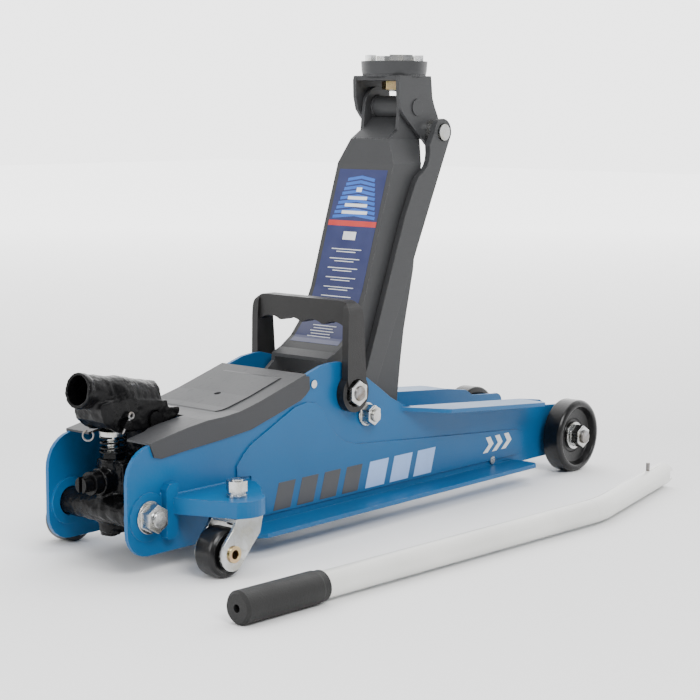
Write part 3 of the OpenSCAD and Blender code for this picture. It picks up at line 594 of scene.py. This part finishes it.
class ArmLabel:
    """Places flat shapes on the curved rear face of the arm: v runs 0 to 1 down the label, y across it."""

    def __init__(self, top_z, bottom_z):
        self.line = web_line(bottom_z, top_z)
        self.steps = [0.0]
        for a, b in zip(self.line, self.line[1:]):
            self.steps.append(self.steps[-1] + (b - a).length)

    def at(self, v, y, lift):
        want = v * self.steps[-1]
        i = 0
        while i < len(self.steps) - 2 and self.steps[i + 1] < want:
            i += 1
        a, b = self.line[i], self.line[i + 1]
        share = (want - self.steps[i]) / max(1e-9, self.steps[i + 1] - self.steps[i])
        along = (b - a).normalized()
        outward = Vector((along.z, 0, -along.x))
        if outward.x > 0:
            outward = -outward
        return a.lerp(b, share) + Vector((0, y, 0)) + outward * lift

    def patch(self, name, film, strips, lift):
        """One piece of several bands across the label. Each strip is (v0, v1, y0, y1, skew), and skew
        raises a band's middle into a chevron."""
        points, faces = [], []
        for v0, v1, y0, y1, skew in strips:
            across = 2 if skew else 1
            down = max(1, int((v1 - v0) * 60))
            start = len(points)
            for layer in (lift, lift + LABEL_THICK):
                for i in range(down + 1):
                    for k in range(across + 1):
                        share = k / across
                        bend = skew * (1 - abs(2 * share - 1)) if skew else 0.0
                        v = v0 + (v1 - v0) * i / down - bend
                        points.append(self.at(v, y0 + (y1 - y0) * share, layer))
            row = across + 1
            top = start + row * (down + 1)
            for i in range(down):
                for k in range(across):
                    a = i * row + k
                    faces.append((top + a, top + a + row, top + a + row + 1, top + a + 1))
                    faces.append((start + a, start + a + 1, start + a + row + 1, start + a + row))
            rim = list(range(row))
            rim += [i * row + across for i in range(1, down + 1)]
            rim += [down * row + k for k in range(across - 1, -1, -1)]
            rim += [i * row for i in range(down - 1, 0, -1)]
            for a, b in zip(rim, rim[1:] + rim[:1]):
                faces.append((start + a, top + a, top + b, start + b))
        return piece(name, "lift_arm", points, faces, FILM[film])


def arm_label():
    label = ArmLabel(246.5 * MM, 124.5 * MM)
    half = 22.6 * MM
    label.patch("arm_label_base", "film_navy", [(0.0, 1.0, -half, half, 0)], 0.05 * MM)
    chevrons = []
    for i in range(9):
        reach = half * (0.56 + 0.04 * i)
        v = 0.05 + 0.026 * i
        chevrons.append((v, v + 0.017, -reach, reach, 0.016))
    label.patch("arm_label_chevrons", "film_blue", chevrons, 0.12 * MM)
    label.patch("arm_label_band", "film_red", [(0.285, 0.315, -half, half, 0)], 0.12 * MM)
    rows = [(0.10, 0.125, -2.5 * MM, 2.5 * MM, 0)]
    for i in range(3):
        half_row = (9 + 1.5 * i) * MM
        rows.append((0.15 + 0.04 * i, 0.168 + 0.04 * i, -half_row, half_row, 0))
    rows += [(0.345, 0.39, -6 * MM, 6 * MM, 0)]
    for i in range(7):
        v = 0.44 + 0.052 * i
        rows.append((v, v + 0.0045, -14 * MM, 14 * MM, 0))
        rows.append((v + 0.014, v + 0.0185, -9 * MM, 9 * MM, 0))
    for i in range(5):
        v = 0.875 + 0.018 * i
        half_row = (11 - 2 * (i % 2)) * MM
        rows.append((v, v + 0.0045, -half_row, half_row, 0))
    label.patch("arm_label_rows", "film_white", rows, 0.2 * MM)


arm_label()


# ---------------------------------------------------------------- floor, light and camera

def emitter(name, place, target, size, power):
    light = bpy.data.lights.new(name, "AREA")
    light.shape = "RECTANGLE"
    light.size, light.size_y = size
    light.energy = power
    obj = bpy.data.objects.new(name, light)
    obj.location = place
    obj.rotation_mode = "QUATERNION"
    obj.rotation_quaternion = (Vector(target) - Vector(place)).to_track_quat("-Z", "Y")
    bpy.context.scene.collection.objects.link(obj)


# direction of the white sweep, and how bright it and the rest of the room are
SWEEP = (0.76, 0.65, 0.0)
ROOM, BACKDROP = 0.36, 3.4


def floor():
    reach, count = 6.0, 12
    points = [(-reach + 2 * reach * i / count, -reach + 2 * reach * k / count, 0.0)
              for i in range(count + 1) for k in range(count + 1)]
    row = count + 1
    faces = [(i * row + k, (i + 1) * row + k, (i + 1) * row + k + 1, i * row + k + 1)
             for i in range(count) for k in range(count)]
    made, tree, shader, place = surface("studio_floor", specular=0.0)
    cloud = noise(tree, place, 1.2, 2.0)
    body = mix(tree, cloud, (0.86, 0.86, 0.86), (0.9, 0.9, 0.9))
    # far behind the jack the floor glows like the sweep, so that the main view shows no horizon
    along = add(tree, "ShaderNodeVectorMath", {"operation": "DOT_PRODUCT"})
    tree.links.new(place, along.inputs[0])
    along.inputs[1].default_value = SWEEP
    shader.inputs["Emission Color"].default_value = (1.0, 1.0, 1.0, 1.0)
    glow = span(tree, along.outputs["Value"], 0.35, 3.0, 0.0, 0.72 * BACKDROP)
    tree.links.new(glow, shader.inputs["Emission Strength"])
    shine = span(tree, cloud, 0.0, 1.0, 0.6, 0.7)
    finish_surface(tree, shader, body, shine, noise(tree, place, 300.0), 0.02 * MM)
    mesh = bpy.data.meshes.new("floor")
    mesh.from_pydata(points, [], faces)
    mesh.materials.append(made)
    obj = bpy.data.objects.new("floor", mesh)
    bpy.context.scene.collection.objects.link(obj)


def world():
    """A white sweep behind the jack, fading to a dimmer room on the side of the softboxes."""
    made = bpy.data.worlds.new("studio")
    made.use_nodes = True
    tree = made.node_tree
    ray = tree.nodes.new("ShaderNodeTexCoord").outputs["Generated"]
    facing = add(tree, "ShaderNodeVectorMath", {"operation": "DOT_PRODUCT"})
    tree.links.new(ray, facing.inputs[0])
    facing.inputs[1].default_value = SWEEP
    share = span(tree, facing.outputs["Value"], -0.2, 0.75)
    tree.links.new(mix(tree, share, (ROOM,) * 3, (BACKDROP,) * 3), tree.nodes["Background"].inputs["Color"])
    bpy.context.scene.world = made


CAMERA_AT = (-0.96305, -0.79029, 0.2927)
# degrees: clockwise from +Y seen from above, downward, and anticlockwise roll seen from behind the camera
CAMERA_YAW, CAMERA_PITCH, CAMERA_ROLL = 49.56, 7.84, 0.31


def camera():
    data = bpy.data.cameras.new("camera")
    data.lens = 91.34
    data.sensor_width = 36.0
    data.clip_start, data.clip_end = 0.05, 40.0
    obj = bpy.data.objects.new("camera", data)
    obj.location = CAMERA_AT
    yaw, pitch, roll = (math.radians(angle) for angle in (CAMERA_YAW, CAMERA_PITCH, CAMERA_ROLL))
    ahead = Vector((math.sin(yaw) * math.cos(pitch), math.cos(yaw) * math.cos(pitch), -math.sin(pitch)))
    right = ahead.cross(Vector((0, 0, 1))).normalized()
    up = right.cross(ahead)
    turned_right = right * math.cos(roll) + up * math.sin(roll)
    turned_up = up * math.cos(roll) - right * math.sin(roll)
    obj.rotation_mode = "QUATERNION"
    obj.rotation_quaternion = Matrix((turned_right, turned_up, -ahead)).transposed().to_quaternion()
    bpy.context.scene.collection.objects.link(obj)
    bpy.context.scene.camera = obj


floor()
world()
aim = (0.0, 0.0, 0.12)
emitter("key", (-0.9, -1.9, 1.9), aim, (1.4, 1.0), 62.0)
emitter("fill", (-1.9, 0.5, 1.0), aim, (1.2, 1.2), 22.0)
emitter("top", (0.3, 0.1, 2.3), aim, (2.0, 1.4), 22.0)
camera()
